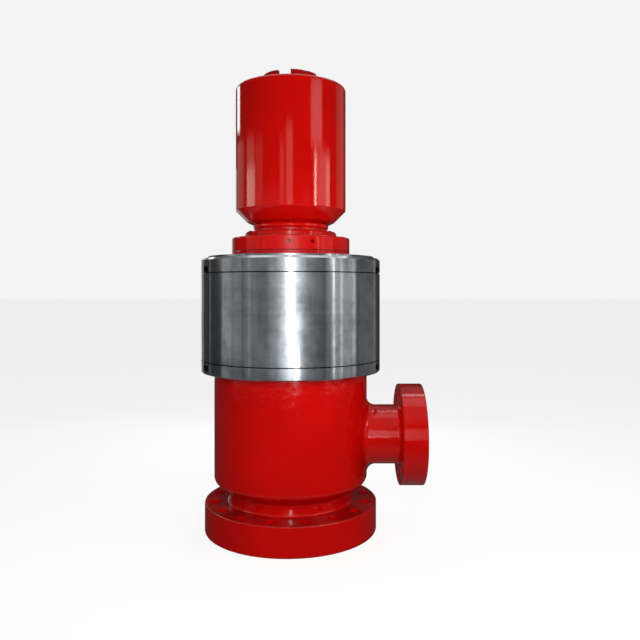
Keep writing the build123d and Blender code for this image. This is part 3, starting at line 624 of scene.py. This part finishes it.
clamp_polish, shader, add, links = new_finish("clamp_polish")
place = add("ShaderNodeTexCoord").outputs["Object"]
colour = polish(
    (shader, add, links), place, pale=steel_pale, dull=steel_dull, roughness=0.18, anisotropy=0.7,
    rings=0.000002,
)
out, up = round_place(add, place)
low_groove, high_groove = (near_height(add, up, height, clamp_groove_half) for height in clamp_groove_heights)
below_surface = span(add, out, clamp_edge_r - 0.0002, clamp_edge_r - 0.0012)
# Painted shade: the two grooves are darkened below the surface of the steel
groove_shade = reckon(add, "MULTIPLY", reckon(add, "MAXIMUM", low_groove, high_groove), below_surface)
links.new(blend_colours(add, groove_shade, colour, groove_shade_dark), shader.inputs["Base Color"])
give_finish(clamp_polish, "clamp_segment_front", "clamp_segment_right", "clamp_segment_left")

# Clamp screws: six black socket-head screws, M12, two across each seam. Each head sits in the
# pocket of one segment, on a flat seat, and pulls the two segments together. Each seam has its angle
# and the side that the heads are on.
oil_black = (0.035, 0.037, 0.042, 1.0)
oil_worn = (0.091, 0.0962, 0.1092, 1.0)
clamp_seams = ((-145.0, -1), (-25.0, 1), (95.0, -1))
clamp_screw_heights = (clamp_low_z + 0.025, clamp_top_z - 0.044)
clamp_wall = 0.027
clamp_screw_pitch_r = clamp_edge_r - clamp_wall / 2
clamp_seat = 0.016


def oiled_steel(finish_name, roughness):
    """Steel blacked by hot oil: dark, a little blue, worn pale in patches."""
    finish, shader, add, links = new_finish(finish_name)
    place = add("ShaderNodeTexCoord").outputs["Object"]
    stain = mottle(add, place, 140.0, 6.0, 0.65)
    colour = blend_colours(add, span(add, stain, 0.45, 0.75), oil_black, oil_worn)
    links.new(colour, shader.inputs["Base Color"])
    links.new(span(add, stain, 0.3, 0.7, roughness, roughness * 1.5), shader.inputs["Roughness"])
    links.new(relief(add, mottle(add, place, 900.0, 2.0), 0.00004), shader.inputs["Normal"])
    shader.inputs["Metallic"].default_value = 0.9
    return finish


clamp_screw = socket_head(head_r=0.009, head_h=0.012, hexagon=0.010, depth=0.006, rim=0.0009)
clamp_screw_places = []
for seam, side in clamp_seams:
    a = math.radians(seam)
    for height in clamp_screw_heights:
        x = clamp_screw_pitch_r * math.cos(a) - side * clamp_seat * math.sin(a)
        y = clamp_screw_pitch_r * math.sin(a) + side * clamp_seat * math.cos(a)
        clamp_screw_places.append(((x, y, height), (-side * math.pi / 2, 0.0, a)))
black_steel = oiled_steel("black_screw_steel", 0.38)
clamp_screws = set_screws(clamp_screw, "clamp_screws", clamp_screw_places, black_steel)
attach(clamp_screws, "housing")

# Bearings: hardened steel rings and the spacers between them, ground bright, pressed into the
# housing or on the mandrel and shut away there
ground_look = {
    "pale": (0.66, 0.66, 0.67, 1.0),
    "dull": (0.5, 0.5, 0.5, 1.0),
    "roughness": 0.16,
    "anisotropy": 0.3,
    "rings": 0.000001,
}


def polished_steel(finish_name, steel_look):
    """Bare steel turned on the upright axis."""
    finish, shader, add, links = new_finish(finish_name)
    place = add("ShaderNodeTexCoord").outputs["Object"]
    colour = polish((shader, add, links), place, **steel_look)
    links.new(colour, shader.inputs["Base Color"])
    return finish


give_finish(
    polished_steel("bearing_polish", ground_look),
    "lower_outer_race", "upper_outer_race", "outer_race_spacer", "lower_inner_race", "upper_inner_race",
    "inner_race_spacer",
)

# Mandrel, its wear sleeve, and the rings and the carrier of the strippers: turned from alloy steel,
# left bare and oiled. Only the neck of the mandrel that stands out of the seal cap is painted.
shaft_look = {
    "pale": (0.42, 0.41, 0.40, 1.0),
    "dull": (0.2, 0.19, 0.18, 1.0),
    "roughness": 0.3,
    "anisotropy": 0.5,
    "rings": 0.000006,
}
neck_paint_r = 0.1405
neck_paint_z = seal_cap_top_z - 0.004
give_finish(
    polished_steel("shaft_polish", shaft_look),
    "wear_sleeve", "upper_stripper_ring", "stripper_carrier", "lower_stripper_ring",
)
mandrel_polish, shader, add, links = new_finish("mandrel_polish")
place = add("ShaderNodeTexCoord").outputs["Object"]
colour = polish((shader, add, links), place, **shaft_look)
out, up = round_place(add, place)
over_cap = span(add, up, neck_paint_z, neck_paint_z + 0.002)
on_neck = span(add, out, neck_paint_r, neck_paint_r + 0.0005)
painted = reckon(add, "MULTIPLY", over_cap, on_neck)
links.new(blend_colours(add, painted, colour, enamel_deep_red), shader.inputs["Base Color"])
links.new(reckon(add, "SUBTRACT", 1.0, painted), shader.inputs["Metallic"])
give_finish(mandrel_polish, "mandrel")

# Pot and slinger: a turned steel shell that the rotor carries above the housing, and the round bead
# under it that throws off mud. Both are enamelled, with the smoothest paint on the machine.
pot_enamel = enamel("pot_enamel", lump_size=0.09, lump_h=0.00025, coat_roughness=0.05)
give_finish(pot_enamel, "pot", "slinger")

# Pot cover: a steel plate let into the rim of the pot over the stripper and enamelled with it,
# held down by twelve low-head screws that are painted over
pot_top_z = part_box("pot")[1][2]
cover_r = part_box("pot_cover")[1][0]
cover_rim = (cover_r, pot_top_z)
cover_enamel = enamel(
    "cover_enamel", lump_size=0.09, lump_h=0.00025, coat_roughness=0.10, rims=(cover_rim,), rub=0.003
)
give_finish(cover_enamel, "pot_cover")
cover_screw_count = 12
cover_screw_inset = 0.024
cover_screw_pitch_r = cover_r - cover_screw_inset
cover_screw = socket_head(head_r=0.012, head_h=0.0060, hexagon=0.0120, depth=0.0045, rim=0.0008)
cover_screw_places = ring_places(cover_screw_count, cover_screw_pitch_r, pot_top_z)
cover_screws = set_screws(cover_screw, "pot_cover_screws", cover_screw_places, screw_enamel)
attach(cover_screws, "rotor")

# Drive crown: a forged steel ring with four lugs that the kelly bushing drops between. The bushing
# has worn the enamel off the tops and the corners of the lugs.
crown_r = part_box("drive_crown")[1][0]
crown_wall = 0.026
crown_top_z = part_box("drive_crown")[1][2]
crown_rims = ((crown_r, crown_top_z), (crown_r - crown_wall, crown_top_z))
crown_enamel = enamel(
    "crown_enamel", lump_size=0.06, lump_h=0.0004, coat_roughness=0.09, rims=crown_rims, rub=0.014
)
give_finish(crown_enamel, "drive_crown")

# Seals and strippers: oil-proof rubber, black with a grey bloom. The strippers are moulded cones
# that hug the drill pipe, bonded to their steel rings, and the seals are lipped rings.
seal_black = (0.012, 0.012, 0.013, 1.0)
seal_bloom = (0.035, 0.034, 0.033, 1.0)
stripper_black = (0.014, 0.013, 0.013, 1.0)
stripper_bloom = (0.05, 0.048, 0.045, 1.0)


def rubber(finish_name, black, bloom_grey):
    """Moulded rubber with a dry bloom on its skin."""
    finish, shader, add, links = new_finish(finish_name)
    place = add("ShaderNodeTexCoord").outputs["Object"]
    bloom = mottle(add, place, 24.0, 6.0, 0.6)
    colour = blend_colours(add, span(add, bloom, 0.4, 0.75), black, bloom_grey)
    links.new(colour, shader.inputs["Base Color"])
    links.new(span(add, bloom, 0.3, 0.7, 0.5, 0.75), shader.inputs["Roughness"])
    links.new(relief(add, mottle(add, place, 420.0, 3.0), 0.0001), shader.inputs["Normal"])
    return finish


give_finish(rubber("seal_rubber_skin", seal_black, seal_bloom), "lower_shaft_seal", "upper_shaft_seal")
stripper_skin = rubber("stripper_rubber_skin", stripper_black, stripper_bloom)
give_finish(stripper_skin, "upper_stripper_rubber", "lower_stripper_rubber")
